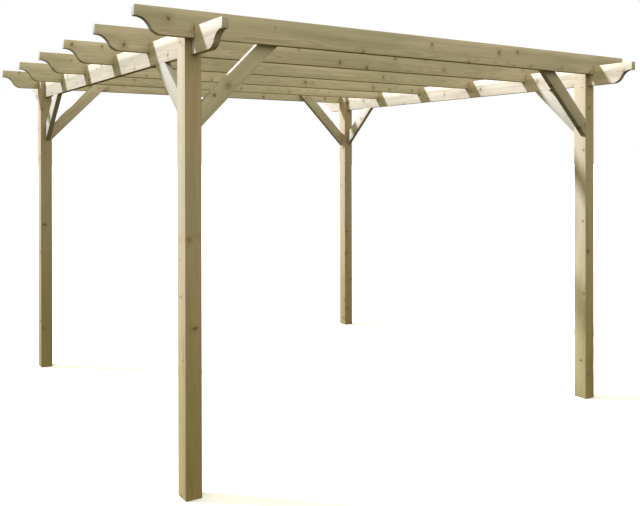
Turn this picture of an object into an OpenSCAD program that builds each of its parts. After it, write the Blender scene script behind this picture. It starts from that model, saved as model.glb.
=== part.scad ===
// Wooden garden pergola, an open frame of planed softwood.
// Four notched posts carry two side beams, and six rafters are cross-halved
// over the beams. Two knee braces stiffen each post.
// X runs left to right along the rafters, Y front to back along the beams,
// Z up. The origin is the middle of the plan at ground level.

/* [Overall] */
// Height of the rafter tops above the ground
frame_height = 2520; // [2200:10:3000]
// Distance between the centres of the left and right posts
post_span = 3230; // [2400:10:4200]
// Distance between the centres of neighbouring rafters
rafter_pitch = 600; // [400:10:750]

/* [Timber sections] */
// Width of each side of a square post
post_w = 95; // [75:1:150]
// Thickness of every beam, rafter and brace
board_t = 38; // [28:1:60]
// Depth of the beams and rafters
board_d = 140; // [110:1:220]
// Width of the face of a brace
brace_w = 90; // [60:1:140]

/* [Overhangs and scroll ends] */
// Length of rafter past the outer face of a post
rafter_overhang = 290; // [200:5:500]
// Length of beam past the outer face of the end rafter
beam_overhang = 295; // [200:5:500]
// Flat stretch under each tip, before the scroll
tip_flat = 18; // [5:1:60]
// Length of the scroll cut under each end
scroll_run = 130; // [80:1:180]
// Height of the scroll cut at the tip
scroll_rise = 84; // [50:1:100]

/* [Joints] */
// Depth that a rafter and a beam share where they cross
lap = 60; // [30:1:90]
// Distance of each slot and its beam to the right of the post's middle
slot_shift = 10; // [-20:1:20]
// Play on each side of a halved or slotted joint
joint_clearance = 0.5; // [0.2:0.1:1.5]
// Drop of a brace's lower corner below the underside of the beams
brace_drop = 370; // [250:10:600]
// Slope of a brace from the horizontal, in degrees
brace_slope = 44; // [40:1:55]

/* [Hidden] */
rafter_count = 6;
rafter_bottom = frame_height - board_d;
beam_top = rafter_bottom + lap;
beam_bottom = beam_top - board_d;
brace_foot = beam_bottom - brace_drop;
halving = lap / 2;
joint_w = board_t + 2 * joint_clearance;

// Middles of the right-hand posts and of the hindmost rafter and posts.
post_x = post_span / 2;
end_rafter_y = rafter_pitch * (rafter_count - 1) / 2;
post_y = end_rafter_y - board_t / 2 - post_w / 2;

rafter_length = post_span + post_w + 2 * rafter_overhang;
beam_length = 2 * end_rafter_y + board_t + 2 * beam_overhang;

// Each arc of a scroll spans half its run and half its rise. The radius is a
// little more than that of an arc that starts level. The two centres lie this
// far from the ends of the scroll.
chord = norm([scroll_run, scroll_rise]) / 2;
scroll_radius = 1.065 * pow(chord, 2) / scroll_rise;
bow = sqrt(pow(scroll_radius, 2) - pow(chord / 2, 2)) / chord;
centre_along = scroll_run / 4 - bow * scroll_rise / 2;
centre_up = scroll_rise / 4 + bow * scroll_run / 2;
// The arcs are cut this much larger, so that they cross and leave no sliver.
arc_overlap = 0.1;

post_colour = [0.76, 0.70, 0.50];
beam_colour = [0.80, 0.75, 0.58];
rafter_colour = [0.68, 0.65, 0.49];
brace_colour = [0.60, 0.60, 0.46];

$fn = 96;

// Waste below a scroll at the right-hand end of a board whose bottom edge
// lies on y = 0: a swelling, then a cove, then the flat under the tip.
module scroll_cut(length) {
    translate([length / 2 - tip_flat, 0]) {
        difference() {
            translate([centre_along - scroll_run, -scroll_rise])
                square([2 * scroll_run, 1.5 * scroll_rise]);
            translate([centre_along - scroll_run, centre_up])
                circle(r = scroll_radius + arc_overlap);
        }
        intersection() {
            translate([-scroll_run, -scroll_rise])
                square([2 * scroll_run, 2 * scroll_rise]);
            translate([-centre_along, scroll_rise - centre_up])
                circle(r = scroll_radius + arc_overlap);
        }
        translate([-centre_along, -scroll_rise])
            square([2 * tip_flat, 2 * scroll_rise]);
    }
}

// Side view of a board with a scroll under both ends.
module board_outline(length) {
    difference() {
        translate([-length / 2, 0])
            square([length, board_d]);
        scroll_cut(length);
        mirror([1, 0])
            scroll_cut(length);
    }
}

// Square post, slotted from the top so that two tongues clasp the beam.
module post(side_x, side_y) {
    color(post_colour)
    translate([side_x * post_x, side_y * post_y, 0])
    difference() {
        translate([-post_w / 2, -post_w / 2, 0])
            cube([post_w, post_w, beam_top]);
        translate([slot_shift - joint_w / 2, -post_w, beam_bottom])
            cube([joint_w, 2 * post_w, 2 * board_d]);
    }
}

// Side beam that lies in the post slots, halved from above for each rafter.
module beam(side_x) {
    color(beam_colour)
    translate([side_x * post_x + slot_shift, 0, beam_bottom])
    difference() {
        rotate([90, 0, 90])
        linear_extrude(height = board_t, center = true)
            board_outline(beam_length);
        for (place = [0 : rafter_count - 1])
            translate([
                -board_t,
                place * rafter_pitch - end_rafter_y - joint_w / 2,
                board_d - halving
            ])
            cube([2 * board_t, joint_w, board_d]);
    }
}

// Rafter across the frame, halved from below over both beams.
module rafter(place) {
    color(rafter_colour)
    translate([0, place * rafter_pitch - end_rafter_y, rafter_bottom])
    difference() {
        rotate([90, 0, 0])
        linear_extrude(height = board_t, center = true)
            board_outline(rafter_length);
        for (side_x = [-1, 1])
            translate([
                side_x * post_x + slot_shift - joint_w / 2,
                -board_t,
                -halving
            ])
            cube([joint_w, 2 * board_t, 2 * halving]);
    }
}

// Side view of a brace that leans from x = 0 towards +x or -x. The foot is
// cut plumb against the post and the head is cut level at head_z.
module brace_outline(toward, head_z) {
    run = (head_z - brace_foot) / tan(brace_slope);
    polygon([
        [0, brace_foot],
        [toward * run, head_z],
        [toward * (run - brace_w / sin(brace_slope)), head_z],
        [0, brace_foot + brace_w / cos(brace_slope)]
    ]);
}

// Brace across the frame. It stands flush with the outer face of the post,
// and its head laps the inner face of the end rafter.
module cross_brace(side_x, side_y) {
    color(brace_colour)
    translate([
        side_x * (post_x - post_w / 2),
        side_y * (post_y + post_w / 2 - board_t / 2),
        0
    ])
    rotate([90, 0, 0])
    linear_extrude(height = board_t, center = true)
        brace_outline(-side_x, beam_top);
}

// Brace along the side, in line with the beam, whose underside it meets.
module side_brace(side_x, side_y) {
    color(brace_colour)
    translate([
        side_x * post_x + slot_shift,
        side_y * (post_y - post_w / 2),
        0
    ])
    rotate([90, 0, 90])
    linear_extrude(height = board_t, center = true)
        brace_outline(-side_y, beam_bottom);
}

post(-1, -1);  // post_front_left
post(1, -1);  // post_front_right
post(-1, 1);  // post_back_left
post(1, 1);  // post_back_right
beam(-1);  // beam_left
beam(1);  // beam_right
rafter(0);  // rafter_1
rafter(1);  // rafter_2
rafter(2);  // rafter_3
rafter(3);  // rafter_4
rafter(4);  // rafter_5
rafter(5);  // rafter_6
cross_brace(-1, -1);  // cross_brace_front_left
cross_brace(1, -1);  // cross_brace_front_right
cross_brace(-1, 1);  // cross_brace_back_left
cross_brace(1, 1);  // cross_brace_back_right
side_brace(-1, -1);  // side_brace_front_left
side_brace(1, -1);  // side_brace_front_right
side_brace(-1, 1);  // side_brace_back_left
side_brace(1, 1);  // side_brace_back_right
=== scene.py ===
"""Planed timber, screws and a plain daylight stage for a wooden garden pergola."""

import math
import random

import bmesh
import bpy
from bpy.props import FloatProperty, IntProperty, PointerProperty, StringProperty
from mathutils import Matrix, Vector


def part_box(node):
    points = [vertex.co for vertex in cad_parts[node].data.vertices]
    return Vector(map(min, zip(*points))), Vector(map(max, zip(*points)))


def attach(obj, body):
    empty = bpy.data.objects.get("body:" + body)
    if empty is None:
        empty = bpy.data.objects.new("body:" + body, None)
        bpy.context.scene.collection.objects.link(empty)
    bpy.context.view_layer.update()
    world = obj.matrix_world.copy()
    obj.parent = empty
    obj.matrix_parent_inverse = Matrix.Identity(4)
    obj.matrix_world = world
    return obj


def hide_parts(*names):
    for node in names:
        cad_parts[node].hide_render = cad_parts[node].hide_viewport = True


bl_info = {
    "name": "Garden Pergola",
    "version": (1, 0, 0),
    "blender": (4, 5, 0),
    "location": "3D View > Sidebar > Pergola",
    "description": "Builds a wooden garden pergola from planed, pressure-treated softwood",
    "category": "Object",
}

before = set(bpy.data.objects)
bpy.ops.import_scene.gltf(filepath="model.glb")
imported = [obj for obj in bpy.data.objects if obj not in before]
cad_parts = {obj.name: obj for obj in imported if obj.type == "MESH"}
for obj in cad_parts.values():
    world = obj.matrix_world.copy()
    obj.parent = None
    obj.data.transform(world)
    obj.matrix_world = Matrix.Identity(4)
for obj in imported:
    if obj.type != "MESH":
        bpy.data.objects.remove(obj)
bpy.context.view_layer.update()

MM = 0.001
RIGHT = Vector((1, 0, 0))
BACK = Vector((0, 1, 0))
UP = Vector((0, 0, 1))
CORNERS = [
    ("front_left", -1, -1),
    ("front_right", 1, -1),
    ("back_left", -1, 1),
    ("back_right", 1, 1),
]


# Boards of one batch differ, and some are drawn lighter or darker for the light they stand in: how much
# lighter or darker than its kind each one is, partly its own tone and partly painted light and shade.
BOARD_TONES_AND_LIGHT = {
    "post_front_left": -0.05,
    "post_front_right": 0.02,
    "post_back_left": -0.06,
    "post_back_right": -0.06,
    "beam_left": 0.12,
    "beam_right": 0.20,
    "rafter_1": 0.12,
    "rafter_2": 0.08,
    "rafter_3": 0.18,
    "rafter_4": 0.23,
    "rafter_5": 0.26,
    "rafter_6": 0.22,
    "cross_brace_front_left": 0.10,
    "cross_brace_front_right": -0.14,
    "cross_brace_back_left": 0.06,
    "side_brace_front_left": -0.12,
    "side_brace_front_right": -0.12,
    "side_brace_back_left": -0.14,
}


# Large knots that stand out: the place of each from the middle of its board,
# along and across the grain, and its radius, in metres.
LARGE_KNOTS = {
    "post_front_left": (0.124, -0.026, 0.016),
    "beam_right": (-1.345, -0.060, 0.007),
    "rafter_1": (-1.623, -0.021, 0.015),
    "rafter_2": (0.714, -0.027, 0.014),
    "cross_brace_front_left": (-0.100, -0.047, 0.019),
}
# A board without one has it out of sight.
FAR_AWAY = (100.0, 100.0, 1.0)

# The log each board is sawn from, in metres from the middle of the board.
PITH_ACROSS = 0.017
PITH_THROUGH = 0.052
RING_WANDER = 0.075  # how far the rings stray along the log
RING_SWELL = 0.018  # how far they bend round a knot
SIDE_FACE_SHIFT = 2.3  # a post's side faces show a different stretch of log

# Where the screws go. The pairs are shares of a post's width and a beam's depth,
# and the rest are distances in metres.
TONGUE_SCREWS = ((0.3, 0.34), (0.7, 0.46))
HEAD_INSETS = (0.055, 0.115)  # in from the tip of a cross brace's head
HEAD_RISE = 0.035  # above the underside of the rafter
FOOT_INSET = 0.06  # along a brace from its foot
SIDE_HEAD_INSET = 0.42  # along a side brace, up under the beam

WHITE = "#FFFFFF"
FLOOR_PAINT = "#F4F4F2"
FLOOR_REACH = 400.0  # far enough for the floor to meet the white of the sky
VIEW_REACH = 1000.0  # past the floor's corners
SKY_FADE_START = -0.1  # sine of the height below which all light is the ground's


# ---------------------------------------------------------------- settings


class TimberSettings(bpy.types.PropertyGroup):
    arris: FloatProperty(
        name="Arris",
        description="Width of the eased edge that the planer leaves",
        default=2.0 * MM,
        unit="LENGTH",
    )
    ring_gap: FloatProperty(
        name="Ring gap",
        description="Distance between growth rings, drawn coarse enough to be seen",
        default=9.0 * MM,
        unit="LENGTH",
    )
    knot_gap_along: FloatProperty(
        name="Knot gap along",
        description="Usual distance between knots along a board",
        default=260.0 * MM,
        unit="LENGTH",
    )
    knot_gap_across: FloatProperty(
        name="Knot gap across",
        description="Usual distance between knots across a board",
        default=80.0 * MM,
        unit="LENGTH",
    )
    knot_size: FloatProperty(
        name="Knot size",
        description="Radius of the largest knots",
        default=12.0 * MM,
        unit="LENGTH",
    )
    # Painted shade on the upper faces: they are drawn darker because the high sun lights them more than
    # the sides.
    painted_top_shade: FloatProperty(
        name="Top shade",
        description="How much rain has darkened the upper faces",
        default=0.8,
    )
    seed: IntProperty(
        name="Seed",
        description="Chooses the part of the log that each piece is sawn from",
        default=7,
    )


class FinishSettings(bpy.types.PropertyGroup):
    post: StringProperty(name="Post", description="Sapwood of the posts", default="#BCA986")
    beam: StringProperty(name="Beam", description="Sapwood of the beams", default="#D6C9AC")
    rafter: StringProperty(name="Rafter", description="Sapwood of the rafters", default="#D2C6AC")
    brace: StringProperty(name="Brace", description="Sapwood of the braces", default="#CCC2A8")
    latewood: StringProperty(name="Latewood", description="Dark half of a ring", default="#94805A")
    green: StringProperty(name="Green", description="Tint left by the treatment", default="#999C7C")
    stain: StringProperty(name="Stain", description="Patches of brown extract", default="#7C6A48")
    resin: StringProperty(name="Resin", description="Warm wood round a knot", default="#9C7C50")
    # Filter for the foot of a post: partly painted shade where the dark ground below gives little light,
    # partly a yellow cast that the wood also shows in the sun.
    foot_cast_and_shade: StringProperty(name="Foot cast and shade", description="Filter of algae low on a post", default="#EAE9A0")
    knot: StringProperty(name="Knot", description="Heart of a knot", default="#574330")
    end: StringProperty(name="End grain", description="Sawn end of a board", default="#A19D90")
    steel: StringProperty(name="Steel", description="Zinc on a screw head", default="#A9A699")
    film: StringProperty(name="Film", description="Warm film on the zinc", default="#8B7F5C")


class ScrewSettings(bpy.types.PropertyGroup):
    head: FloatProperty(
        name="Head",
        description="Diameter of a countersunk screw head",
        default=10.0 * MM,
        unit="LENGTH",
    )
    height: FloatProperty(
        name="Height",
        description="Thickness of the head that shows",
        default=1.6 * MM,
        unit="LENGTH",
    )
    recess: FloatProperty(
        name="Recess",
        description="Depth of the driver socket",
        default=1.2 * MM,
        unit="LENGTH",
    )
    sink: FloatProperty(
        name="Sink",
        description="Depth of the head's top below the wood, or its height above when negative",
        default=-0.4 * MM,
        unit="LENGTH",
    )


class StageSettings(bpy.types.PropertyGroup):
    camera_right: FloatProperty(
        name="Camera right",
        description="Place of the camera to the right of the pergola's middle",
        default=-3.273,
        unit="LENGTH",
    )
    camera_back: FloatProperty(
        name="Camera back",
        description="Place of the camera behind the pergola's middle",
        default=-4.908,
        unit="LENGTH",
    )
    camera_up: FloatProperty(
        name="Camera up",
        description="Height of the camera above the ground",
        default=1.745,
        unit="LENGTH",
    )
    heading: FloatProperty(
        name="Heading",
        description="Turn of the view from straight back towards the right",
        default=math.radians(30.11),
        subtype="ANGLE",
    )
    pitch: FloatProperty(
        name="Pitch",
        description="Upward tilt of the view",
        default=math.radians(-0.14),
        subtype="ANGLE",
    )
    roll: FloatProperty(
        name="Roll",
        description="Turn of the view about its own line of sight",
        default=math.radians(-0.12),
        subtype="ANGLE",
    )
    lens: FloatProperty(name="Lens", description="Focal length in millimetres", default=41.41)
    shift_right: FloatProperty(
        name="Shift right", description="Sideways shift of the lens, in frame widths", default=0.1115
    )
    shift_up: FloatProperty(
        name="Shift up", description="Upward shift of the lens, in frame widths", default=-0.1394
    )
    sun: FloatProperty(name="Sun", description="Strength of the sun lamp", default=8.9)
    sun_colour: StringProperty(
        name="Sun colour", description="Colour of the sun lamp", default="#D6DEFC"
    )
    sun_size: FloatProperty(
        name="Sun size",
        description="Width of the sun's disc, which softens the edges of shadows",
        default=math.radians(5.0),
        subtype="ANGLE",
    )
    sun_right: FloatProperty(
        name="Sun right", description="Drift of the light to the right per metre of fall", default=0.8
    )
    sun_forward: FloatProperty(
        name="Sun forward",
        description="Drift of the light forwards per metre of fall",
        default=0.645,
    )
    sky: StringProperty(
        name="Sky light", description="Colour of the light from above", default="#F9F6E2"
    )
    ground: StringProperty(
        name="Ground light", description="Colour of the light from below", default="#4B482A"
    )
    daylight: FloatProperty(
        name="Daylight", description="Strength of the light from above and below", default=1.22
    )
    floor_glow: FloatProperty(
        name="Floor glow", description="Light of the floor itself, which thins its shadows", default=0.12
    )
    hedge: FloatProperty(
        name="Hedge", description="Sine of the height at which the sky is fully bright", default=0.25
    )


SETTINGS = {
    "pergola_timber": TimberSettings,
    "pergola_finish": FinishSettings,
    "pergola_screws": ScrewSettings,
    "pergola_stage": StageSettings,
}


# ----------------------------------------------------------------- helpers


def linear(hex_colour):
    """Linear RGBA of an sRGB hex colour."""
    values = []
    for place in (1, 3, 5):
        value = int(hex_colour[place : place + 2], 16) / 255
        low = value <= 0.04045
        values.append(value / 12.92 if low else ((value + 0.055) / 1.055) ** 2.4)
    return (*values, 1.0)


def add(tree, kind, inputs=(), **settings):
    """Adds a node, applies its settings, and fills or links its inputs."""
    node = tree.nodes.new(kind)
    for name, value in settings.items():
        setattr(node, name, value)
    for key, value in dict(inputs).items():
        if isinstance(value, bpy.types.NodeSocket):
            tree.links.new(value, node.inputs[key])
        else:
            node.inputs[key].default_value = value
    return node


def place_piece(piece):
    """Links a piece, turns its modifiers into plain geometry, and lets it ride."""
    bpy.context.scene.collection.objects.link(piece)
    depsgraph = bpy.context.evaluated_depsgraph_get()
    mesh = bpy.data.meshes.new_from_object(piece.evaluated_get(depsgraph))
    piece.modifiers.clear()
    old = piece.data
    piece.data = mesh
    bpy.data.meshes.remove(old)
    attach(piece, "root")  # the pergola is one rigid body


# --------------------------------------------------------------- materials


def softwood(name, sapwood, foot_shade_height=0.0):
    """Planed pine, pressure treated: pale tan sapwood under a thin green tint.

    The eye gets long streaks, rings that bend round small brown knots, greyer
    sawn ends, and a dry surface with almost no shine.
    """
    timber = bpy.context.scene.pergola_timber
    finish = bpy.context.scene.pergola_finish
    material = bpy.data.materials.new(name)
    material.use_nodes = True
    tree = material.node_tree
    tree.nodes.clear()

    def math_node(operation, *values, clamp=False):
        inputs = {i: v for i, v in enumerate(values)}
        return add(tree, "ShaderNodeMath", inputs, operation=operation, use_clamp=clamp).outputs[0]

    def ramp(value, low, high, to_low=0.0, to_high=1.0, smooth=True):
        return add(
            tree,
            "ShaderNodeMapRange",
            {0: value, 1: low, 2: high, 3: to_low, 4: to_high},
            interpolation_type="SMOOTHSTEP" if smooth else "LINEAR",
        ).outputs[0]

    def blend(factor, a, b, mode="MIX"):
        inputs = {0: factor, 6: a, 7: b}
        return add(tree, "ShaderNodeMix", inputs, data_type="RGBA", blend_type=mode).outputs[2]

    def noise(along, across, through, detail=2.0, roughness=0.5, seed=0.0):
        """Noise with so many waves per metre along and across the grain."""
        scaled = add(
            tree,
            "ShaderNodeVectorMath",
            {0: grain, 1: (along, across, through)},
            operation="MULTIPLY",
        ).outputs[0]
        moved = add(
            tree, "ShaderNodeVectorMath", {0: scaled, 1: (seed, seed * 1.7, seed * 0.6)}, operation="ADD"
        ).outputs[0]
        return add(
            tree,
            "ShaderNodeTexNoise",
            {"Vector": moved, "Scale": 1.0, "Detail": detail, "Roughness": roughness},
        ).outputs["Fac"]

    grain = add(tree, "ShaderNodeAttribute", attribute_name="grain").outputs["Vector"]
    end = add(tree, "ShaderNodeAttribute", attribute_name="end_grain").outputs["Fac"]
    # The tone attribute holds each board's own tone with painted light and shade in it, set board by
    # board and darker on the upper faces.
    tone_and_light = add(tree, "ShaderNodeAttribute", attribute_name="tone_and_light").outputs["Fac"]
    split = add(tree, "ShaderNodeSeparateXYZ", {0: grain})
    along, across, through = split.outputs

    # Small knots: at most one in each cell of a loose grid on the wide face.
    flat = add(
        tree,
        "ShaderNodeCombineXYZ",
        {
            0: math_node("DIVIDE", along, timber.knot_gap_along),
            1: math_node("DIVIDE", across, timber.knot_gap_across),
        },
    ).outputs[0]
    cells = add(
        tree,
        "ShaderNodeTexVoronoi",
        {"Vector": flat, "Scale": 1.0, "Randomness": 0.85},
        voronoi_dimensions="2D",
    )
    away = add(
        tree,
        "ShaderNodeVectorMath",
        {0: flat, 1: cells.outputs["Position"]},
        operation="SUBTRACT",
    ).outputs[0]
    away = add(
        tree,
        "ShaderNodeVectorMath",
        {0: away, 1: (timber.knot_gap_along, timber.knot_gap_across * 0.75, 0.0)},
        operation="MULTIPLY",
    ).outputs[0]
    distance = add(tree, "ShaderNodeVectorMath", {0: away}, operation="LENGTH").outputs["Value"]
    uneven = ramp(noise(70.0, 90.0, 90.0, 1.0, 0.5, 4.4), 0.3, 0.7, 0.7, 1.35)
    distance = math_node("MULTIPLY", distance, uneven)
    chance = add(tree, "ShaderNodeSeparateColor", {0: cells.outputs["Color"]})
    present = ramp(chance.outputs[1], 0.47, 0.49)
    radius = math_node("MULTIPLY", ramp(chance.outputs[0], 0.0, 1.0, 0.3, 1.0), timber.knot_size)
    near = math_node("DIVIDE", distance, radius)
    knot = math_node("MULTIPLY", ramp(near, 1.1, 0.55), present)
    halo = math_node("MULTIPLY", ramp(near, 3.6, 0.8), present)

    # Large knots: the branch attribute is the way from the board's own one, in its radii.
    branch = add(tree, "ShaderNodeAttribute", attribute_name="branch").outputs["Vector"]
    near = add(tree, "ShaderNodeVectorMath", {0: branch}, operation="LENGTH").outputs["Value"]
    near = math_node("MULTIPLY", near, uneven)
    knot = math_node("MAXIMUM", knot, ramp(near, 1.15, 0.35, 0.0, 0.55))
    halo = math_node("MAXIMUM", halo, ramp(near, 2.8, 0.7))

    # Growth rings round a pith that wanders along the log. Rings swell round knots.
    wander = math_node("MULTIPLY", math_node("SUBTRACT", noise(1.6, 5.0, 5.0, 1.0), 0.5), RING_WANDER)
    swell = math_node("MULTIPLY", halo, RING_SWELL)
    off_pith = math_node(
        "SQRT",
        math_node(
            "ADD",
            math_node("POWER", math_node("ADD", across, PITH_ACROSS), 2.0),
            math_node("POWER", math_node("ADD", through, PITH_THROUGH), 2.0),
        ),
    )
    ring = math_node("ADD", math_node("ADD", off_pith, wander), swell)
    phase = math_node("FRACT", math_node("DIVIDE", ring, timber.ring_gap))
    late = math_node("MULTIPLY", ramp(phase, 0.35, 0.9), ramp(phase, 1.0, 0.93))

    # Across the grain, streaks lie about 26 mm apart, tint patches 170 mm and stains
    # 77 mm. Fibres are drawn 2.4 mm apart, which is coarse enough to show.
    streak = ramp(noise(1.3, 38.0, 38.0, 3.0, 0.6, 3.1), 0.34, 0.68)
    fibre = noise(9.0, 420.0, 420.0, 2.0, 0.6, 8.2)
    patch = ramp(noise(1.1, 6.0, 6.0, 2.0, 0.5, 5.7), 0.36, 0.66)
    stain = ramp(noise(2.3, 13.0, 13.0, 3.0, 0.6, 11.3), 0.52, 0.74)

    # Where each layer lies, how strongly it shows, and its colour.
    layers = (
        (late, 0.27, finish.latewood),
        (streak, 0.20, finish.latewood),
        (patch, 0.38, finish.green),
        (stain, 0.24, finish.stain),
        (halo, 0.30, finish.resin),
        (knot, 0.66, finish.knot),
        (end, 0.75, finish.end),
    )
    colour = linear(sapwood)
    for mask, share, tint in layers:
        colour = blend(math_node("MULTIPLY", mask, share), colour, linear(tint))
    # Towards the foot of a post the colour is filtered darker and yellower: partly painted shade where
    # the dark ground below gives little light, partly a yellow cast that the wood also shows in the sun.
    if foot_shade_height:
        place = add(tree, "ShaderNodeTexCoord").outputs["Object"]
        height = add(tree, "ShaderNodeSeparateXYZ", {0: place}).outputs[2]
        foot_darkening = math_node("ADD", height, math_node("MULTIPLY", streak, -0.3))
        foot_darkening = ramp(foot_darkening, foot_shade_height, 0.0, 0.0, 0.55)
        colour = blend(foot_darkening, colour, linear(finish.foot_cast_and_shade), "MULTIPLY")
    light = math_node("ADD", ramp(fibre, 0.3, 0.7, 0.93, 1.05, False), tone_and_light)
    grey = add(tree, "ShaderNodeCombineColor", {0: light, 1: light, 2: light}).outputs[0]
    colour = blend(1.0, colour, grey, "MULTIPLY")

    rough = ramp(fibre, 0.2, 0.8, 0.62, 0.80, False)
    relief = math_node("ADD", math_node("MULTIPLY", late, 0.5), math_node("MULTIPLY", fibre, 0.6))
    relief = math_node("SUBTRACT", relief, math_node("MULTIPLY", knot, 0.4))
    bump = add(
        tree, "ShaderNodeBump", {"Strength": 0.35, "Distance": 0.6 * MM, "Height": relief}
    ).outputs[0]
    surface = {
        "Base Color": colour,
        "Roughness": rough,
        "Normal": bump,
        "IOR": 1.5,
        "Specular IOR Level": 0.3,
    }
    shader = add(tree, "ShaderNodeBsdfPrincipled", surface)
    add(tree, "ShaderNodeOutputMaterial", {0: shader.outputs[0]})
    return material


def zinc_steel():
    """Zinc-plated steel of a screw head, dull grey with a warm passivated film."""
    finish = bpy.context.scene.pergola_finish
    material = bpy.data.materials.new("zinc_plated_screw_steel")
    material.use_nodes = True
    tree = material.node_tree
    tree.nodes.clear()
    place = add(tree, "ShaderNodeTexCoord").outputs["Object"]
    spots = add(tree, "ShaderNodeTexNoise", {"Vector": place, "Scale": 300.0, "Detail": 3.0})
    film = add(
        tree,
        "ShaderNodeMix",
        {0: spots.outputs["Fac"], 6: linear(finish.steel), 7: linear(finish.film)},
        data_type="RGBA",
    )
    rough = add(
        tree, "ShaderNodeMapRange", {0: spots.outputs["Fac"], 3: 0.35, 4: 0.6}
    ).outputs[0]
    shader = add(
        tree,
        "ShaderNodeBsdfPrincipled",
        {"Base Color": film.outputs[2], "Metallic": 1.0, "Roughness": rough},
    )
    add(tree, "ShaderNodeOutputMaterial", {0: shader.outputs[0]})
    return material


# ------------------------------------------------------------------ timber


def plane_timber(node, grain_axes, material, slot):
    """A piece of planed timber with eased arrises, in place of a CAD node.

    grain_axes holds the directions along the grain, across the wide face and
    through the thickness.
    """
    timber = bpy.context.scene.pergola_timber
    source = bpy.data.objects[node]
    shape = bmesh.new()
    shape.from_mesh(source.data)
    bmesh.ops.remove_doubles(shape, verts=shape.verts, dist=0.02 * MM)
    bmesh.ops.dissolve_limit(
        shape, angle_limit=math.radians(0.2), verts=shape.verts, edges=shape.edges
    )
    bmesh.ops.recalc_face_normals(shape, faces=shape.faces)
    mesh = bpy.data.meshes.new(node + "_planed")
    shape.to_mesh(mesh)
    shape.free()

    piece = bpy.data.objects.new(node + "_planed", mesh)
    ease = piece.modifiers.new("arris", "BEVEL")
    ease.width = timber.arris
    ease.segments = 2
    ease.limit_method = "ANGLE"
    ease.angle_limit = math.radians(30)
    place_piece(piece)
    mesh = piece.data

    along, across, through = grain_axes
    low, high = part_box(node)
    centre = (Vector(low) + Vector(high)) / 2
    luck = random.Random(f"{timber.seed} {node}")
    start = Vector((luck.uniform(5, 60), 0, 0))
    grain = mesh.attributes.new("grain", "FLOAT_VECTOR", "CORNER")
    ends = mesh.attributes.new("end_grain", "FLOAT", "FACE")
    tone_and_light_layer = mesh.attributes.new("tone_and_light", "FLOAT", "FACE")
    branch = mesh.attributes.new("branch", "FLOAT_VECTOR", "CORNER")
    knot_along, knot_across, knot_radius = LARGE_KNOTS.get(node, FAR_AWAY)
    # The board's tone, partly its own and partly painted light and shade.
    tone_and_light = BOARD_TONES_AND_LIGHT.get(node, 0.0)
    slip = Vector((0, luck.uniform(-0.03, 0.03), 0))
    for face in mesh.polygons:
        sideways = abs(face.normal.dot(across)) > 0.75
        squareness = abs(face.normal.dot(along))  # 1 on a sawn end, 0 along the grain
        ends.data[face.index].value = min(1.0, max(0.0, squareness * 1.6 - 0.6))
        upward_share = max(0.0, face.normal.z - 0.4)  # painted shade: the upper faces, which the sun lights most, are drawn darker
        tone_and_light_layer.data[face.index].value = tone_and_light - timber.painted_top_shade * upward_share
        for loop in face.loop_indices:
            offset = mesh.vertices[mesh.loops[loop].vertex_index].co - centre
            place = Vector((offset.dot(along), offset.dot(across), offset.dot(through)))
            reach = Vector((place.x - knot_along, place.y - knot_across, 0)) / knot_radius
            branch.data[loop].vector = reach
            if sideways and slot == "post_timber":
                place = Vector((place.x + SIDE_FACE_SHIFT, place.z, place.y))
            grain.data[loop].vector = place + start + slip
    mesh.materials.clear()
    mesh.materials.append(material)
    mesh.shade_smooth()
    mesh.set_sharp_from_angle(angle=math.radians(32))
    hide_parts(node)  # the CAD solid stays, hidden
    return piece


class PERGOLA_OT_posts(bpy.types.Operator):
    """Plane the four slotted posts"""

    bl_idname = "pergola.posts"
    bl_label = "Posts"

    def execute(self, context):
        wood = softwood("treated_pine_posts", context.scene.pergola_finish.post, foot_shade_height=1.3)
        for corner, _, _ in CORNERS:
            plane_timber("post_" + corner, (UP, RIGHT, BACK), wood, "post_timber")
        return {"FINISHED"}


class PERGOLA_OT_beams(bpy.types.Operator):
    """Plane the two side beams"""

    bl_idname = "pergola.beams"
    bl_label = "Beams"

    def execute(self, context):
        wood = softwood("treated_pine_beams", context.scene.pergola_finish.beam)
        for side in ("left", "right"):
            plane_timber("beam_" + side, (BACK, UP, RIGHT), wood, "beam_timber")
        return {"FINISHED"}


class PERGOLA_OT_rafters(bpy.types.Operator):
    """Plane the rafters"""

    bl_idname = "pergola.rafters"
    bl_label = "Rafters"

    def execute(self, context):
        wood = softwood("treated_pine_rafters", context.scene.pergola_finish.rafter)
        for node in sorted(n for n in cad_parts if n.startswith("rafter_")):
            plane_timber(node, (RIGHT, UP, BACK), wood, "rafter_timber")
        return {"FINISHED"}


def brace_lean(node, inwards):
    """Direction of a brace from its foot to its head."""
    low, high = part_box(node)
    size = Vector(high) - Vector(low)
    return (abs(size.dot(inwards)) * inwards + size.z * UP).normalized()


class PERGOLA_OT_braces(bpy.types.Operator):
    """Plane the cross braces and side braces"""

    bl_idname = "pergola.braces"
    bl_label = "Braces"

    def execute(self, context):
        wood = softwood("treated_pine_braces", context.scene.pergola_finish.brace)
        for corner, side_x, side_y in CORNERS:
            lean = brace_lean("cross_brace_" + corner, -side_x * RIGHT)
            axes = (lean, BACK.cross(lean), BACK)
            plane_timber("cross_brace_" + corner, axes, wood, "brace_timber")
            lean = brace_lean("side_brace_" + corner, -side_y * BACK)
            axes = (lean, RIGHT.cross(lean), RIGHT)
            plane_timber("side_brace_" + corner, axes, wood, "brace_timber")
        return {"FINISHED"}


# ------------------------------------------------------------------ screws


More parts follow.
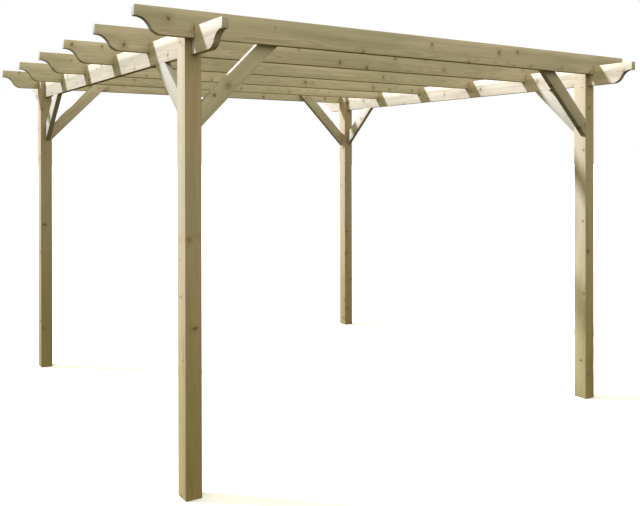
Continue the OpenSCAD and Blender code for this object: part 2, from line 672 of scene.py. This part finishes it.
def screw_places():
    """Where each screw enters the wood, and the direction its head faces."""
    places = []
    for corner, side_x, side_y in CORNERS:
        post_low, post_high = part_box("post_" + corner)
        beam_low, beam_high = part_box("beam_left" if side_x < 0 else "beam_right")
        end = "rafter_1" if side_y < 0 else "rafter_6"
        rafter_low, rafter_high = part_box(end)
        outside = rafter_low[1] if side_y < 0 else rafter_high[1]
        level = (rafter_low[2] + beam_high[2]) / 2
        # One through the end rafter into each tongue of the post.
        for x in ((post_low[0] + beam_low[0]) / 2, (beam_high[0] + post_high[0]) / 2):
            places.append((Vector((x, outside, level)), side_y * BACK))
        # Two through each tongue into the beam.
        for x, way in ((post_low[0], -RIGHT), (post_high[0], RIGHT)):
            for across, up in TONGUE_SCREWS:
                y = post_low[1] + (post_high[1] - post_low[1]) * across
                z = beam_low[2] + (beam_high[2] - beam_low[2]) * up
                places.append((Vector((x, y, z)), way))
        # Two through the head of the cross brace into the end rafter.
        low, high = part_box("cross_brace_" + corner)
        inner = high[1] if side_y < 0 else low[1]
        tip = low[0] if side_x > 0 else high[0]
        for away in HEAD_INSETS:
            place = Vector((tip + side_x * away, inner, rafter_low[2] + HEAD_RISE))
            places.append((place, -side_y * BACK))
        # One through each brace's lower edge into the post or the beam.
        y = (low[1] + high[1]) / 2
        face = high[0] if side_x > 0 else low[0]
        lean = brace_lean("cross_brace_" + corner, -side_x * RIGHT)
        below = -side_x * lean.cross(BACK)
        places.append((Vector((face, y, low[2])) + lean * FOOT_INSET, below))
        low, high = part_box("side_brace_" + corner)
        face = high[1] if side_y > 0 else low[1]
        x = (low[0] + high[0]) / 2
        lean = brace_lean("side_brace_" + corner, -side_y * BACK)
        below = side_y * lean.cross(RIGHT)
        for away in (FOOT_INSET, SIDE_HEAD_INSET):
            places.append((Vector((x, face, low[2])) + lean * away, below))
    return places


def screw_tree(material, sizes):
    """Geometry Nodes tree that sets a countersunk socket head on every point."""
    tree = bpy.data.node_groups.new("screw_heads", "GeometryNodeTree")
    face = tree.interface
    face.new_socket("Geometry", in_out="OUTPUT", socket_type="NodeSocketGeometry")
    face.new_socket("Points", in_out="INPUT", socket_type="NodeSocketGeometry")
    for name, value in sizes.items():
        socket = face.new_socket(name, in_out="INPUT", socket_type="NodeSocketFloat")
        socket.default_value = value
    ins = add(tree, "NodeGroupInput").outputs
    half = add(tree, "ShaderNodeMath", {0: ins["Head"], 1: 0.5}, operation="MULTIPLY").outputs[0]

    disc = add(tree, "GeometryNodeMeshCircle", {"Vertices": 20, "Radius": half}, fill_type="NGON")
    under = add(tree, "GeometryNodeFlipFaces", {"Mesh": disc.outputs[0]}).outputs[0]

    def grow(mesh, offset, factor, selection=True):
        """Pushes the selected face out and then widens or narrows it."""
        pushed = add(
            tree,
            "GeometryNodeExtrudeMesh",
            {"Mesh": mesh, "Selection": selection, "Offset Scale": offset},
            mode="FACES",
        )
        pushed.inputs["Individual"].default_value = False
        top = pushed.outputs["Top"]
        sized = add(
            tree,
            "GeometryNodeScaleElements",
            {"Geometry": pushed.outputs["Mesh"], "Selection": top, "Scale": factor},
        )
        return sized.outputs[0], top

    rim, top = grow(disc.outputs[0], ins["Height"], 0.94)
    lip, top = grow(rim, 0.0, 0.55, top)
    negative = add(tree, "ShaderNodeMath", {0: ins["Recess"], 1: -1.0}, operation="MULTIPLY")
    socket, top = grow(lip, negative.outputs[0], 0.8, top)
    head = add(tree, "GeometryNodeJoinGeometry")
    tree.links.new(socket, head.inputs[0])
    tree.links.new(under, head.inputs[0])
    head = add(tree, "GeometryNodeMergeByDistance", {0: head.outputs[0], "Distance": 1e-6})

    facing = add(tree, "GeometryNodeInputNamedAttribute", {"Name": "facing"}, data_type="FLOAT_VECTOR")
    turn = add(
        tree,
        "FunctionNodeAlignRotationToVector",
        {"Vector": facing.outputs["Attribute"]},
        axis="Z",
    )
    drop = add(tree, "ShaderNodeMath", {0: ins["Height"], 1: ins["Sink"]}, operation="ADD")
    back = add(tree, "ShaderNodeMath", {0: drop.outputs[0], 1: -1.0}, operation="MULTIPLY")
    shift = add(
        tree,
        "ShaderNodeVectorMath",
        {0: facing.outputs["Attribute"], "Scale": back.outputs[0]},
        operation="SCALE",
    )
    points = add(tree, "GeometryNodeSetPosition", {0: ins["Points"], "Offset": shift.outputs[0]})
    heads = add(
        tree,
        "GeometryNodeInstanceOnPoints",
        {"Points": points.outputs[0], "Instance": head.outputs[0], "Rotation": turn.outputs[0]},
    )
    solid = add(tree, "GeometryNodeRealizeInstances", {0: heads.outputs[0]})
    done = add(
        tree, "GeometryNodeSetMaterial", {"Geometry": solid.outputs[0], "Material": material}
    )
    add(tree, "NodeGroupOutput", {0: done.outputs[0]})
    return tree


class PERGOLA_OT_screws(bpy.types.Operator):
    """Set the screw heads in the joints"""

    bl_idname = "pergola.screws"
    bl_label = "Screws"

    def execute(self, context):
        settings = context.scene.pergola_screws
        places = screw_places()
        mesh = bpy.data.meshes.new("screw_heads")
        mesh.from_pydata([place for place, _ in places], [], [])
        facing = mesh.attributes.new("facing", "FLOAT_VECTOR", "POINT")
        for entry, (_, way) in zip(facing.data, places):
            entry.vector = way
        piece = bpy.data.objects.new("screw_heads", mesh)
        sizes = {
            "Head": settings.head,
            "Height": settings.height,
            "Recess": settings.recess,
            "Sink": settings.sink,
        }
        tree = screw_tree(zinc_steel(), sizes)
        modifier = piece.modifiers.new("screw_heads", "NODES")
        modifier.node_group = tree
        for item in tree.interface.items_tree:
            if item.in_out == "INPUT" and item.name in sizes:
                modifier[item.identifier] = sizes[item.name]
        place_piece(piece)
        if not piece.data.polygons:
            raise RuntimeError("the screw heads came out empty")
        return {"FINISHED"}


# ------------------------------------------------------------------- stage


class PERGOLA_OT_stage(bpy.types.Operator):
    """Set up the floor, the daylight and the camera"""

    bl_idname = "pergola.stage"
    bl_label = "Stage"

    def execute(self, context):
        scene = context.scene
        settings = scene.pergola_stage
        scene.view_settings.view_transform = "Standard"

        # Plain pale floor.
        mesh = bpy.data.meshes.new("floor")
        way_round = ((-1, -1), (1, -1), (1, 1), (-1, 1))
        corners = [(x * FLOOR_REACH, y * FLOOR_REACH, 0) for x, y in way_round]
        mesh.from_pydata(corners, [], [(0, 1, 2, 3)])
        floor = bpy.data.objects.new("floor", mesh)
        paint = bpy.data.materials.new("pale_floor")
        paint.use_nodes = True
        shader = paint.node_tree.nodes["Principled BSDF"]
        shader.inputs["Base Color"].default_value = linear(FLOOR_PAINT)
        shader.inputs["Roughness"].default_value = 1.0
        shader.inputs["Specular IOR Level"].default_value = 0.0
        shader.inputs["Emission Color"].default_value = linear(WHITE)
        shader.inputs["Emission Strength"].default_value = settings.floor_glow
        mesh.materials.append(paint)
        floor.visible_diffuse = False
        floor.visible_glossy = False
        scene.collection.objects.link(floor)

        # Pale sky above and the soft light of the ground below.
        world = bpy.data.worlds.new("daylight")
        world.use_nodes = True
        scene.world = world
        tree = world.node_tree
        tree.nodes.clear()
        way = add(tree, "ShaderNodeTexCoord").outputs["Generated"]
        height = add(tree, "ShaderNodeSeparateXYZ", {0: way}).outputs[2]
        fade = {0: height, 1: SKY_FADE_START, 2: settings.hedge}
        above = add(tree, "ShaderNodeMapRange", fade).outputs[0]
        halves = add(
            tree,
            "ShaderNodeMix",
            {0: above, 6: linear(settings.ground), 7: linear(settings.sky)},
            data_type="RGBA",
        )
        light = add(tree, "ShaderNodeBackground", {0: halves.outputs[2], 1: settings.daylight})
        white = add(tree, "ShaderNodeBackground", {0: linear(WHITE)})
        seen = add(tree, "ShaderNodeLightPath").outputs["Is Camera Ray"]
        both = add(tree, "ShaderNodeMixShader", {0: seen, 1: light.outputs[0], 2: white.outputs[0]})
        add(tree, "ShaderNodeOutputWorld", {0: both.outputs[0]})

        lamp = bpy.data.lights.new("sun", "SUN")
        lamp.energy = settings.sun
        lamp.angle = settings.sun_size
        lamp.color = linear(settings.sun_colour)[:3]
        sun = bpy.data.objects.new("sun", lamp)
        fall = Vector((settings.sun_right, -settings.sun_forward, -1.0))
        sun.rotation_mode = "QUATERNION"
        sun.rotation_quaternion = fall.to_track_quat("-Z", "Y")
        scene.collection.objects.link(sun)

        lens = bpy.data.cameras.new("camera")
        lens.sensor_width = 36.0
        lens.lens = settings.lens
        lens.shift_x = settings.shift_right
        lens.shift_y = settings.shift_up
        lens.clip_end = VIEW_REACH
        camera = bpy.data.objects.new("camera", lens)
        heading, pitch, roll = settings.heading, settings.pitch, settings.roll
        forward = Vector(
            (
                math.sin(heading) * math.cos(pitch),
                math.cos(heading) * math.cos(pitch),
                math.sin(pitch),
            )
        )
        level = Vector((math.cos(heading), -math.sin(heading), 0))
        upright = level.cross(forward)
        side = math.cos(roll) * level + math.sin(roll) * upright
        top = side.cross(forward)
        turn = Matrix((side, top, -forward)).transposed()
        place = Vector((settings.camera_right, settings.camera_back, settings.camera_up))
        camera.matrix_world = Matrix.Translation(place) @ turn.to_4x4()
        scene.collection.objects.link(camera)
        scene.camera = camera
        return {"FINISHED"}


# ------------------------------------------------------------------- panel


STEPS = ("posts", "beams", "rafters", "braces", "screws", "stage")
OPERATORS = (
    PERGOLA_OT_posts,
    PERGOLA_OT_beams,
    PERGOLA_OT_rafters,
    PERGOLA_OT_braces,
    PERGOLA_OT_screws,
    PERGOLA_OT_stage,
)


class PERGOLA_PT_sidebar(bpy.types.Panel):
    """Lists the steps that build the pergola"""

    bl_idname = "PERGOLA_PT_sidebar"
    bl_label = "Garden Pergola"
    bl_space_type = "VIEW_3D"
    bl_region_type = "UI"
    bl_category = "Pergola"

    def draw(self, context):
        for name in SETTINGS:
            group = getattr(context.scene, name)
            box = self.layout.box()
            for prop in group.bl_rna.properties:
                if prop.identifier not in ("rna_type", "name"):
                    box.prop(group, prop.identifier)
        for step in STEPS:
            self.layout.operator("pergola." + step)


def register():
    for name, group in SETTINGS.items():
        bpy.utils.register_class(group)
        setattr(bpy.types.Scene, name, PointerProperty(type=group))
    for kind in (*OPERATORS, PERGOLA_PT_sidebar):
        bpy.utils.register_class(kind)


def unregister():
    for kind in (PERGOLA_PT_sidebar, *reversed(OPERATORS)):
        bpy.utils.unregister_class(kind)
    for name, group in SETTINGS.items():
        delattr(bpy.types.Scene, name)
        bpy.utils.unregister_class(group)


def main():
    register()
    for step in STEPS:
        getattr(bpy.ops.pergola, step)()


if __name__ == "__main__":
    main()
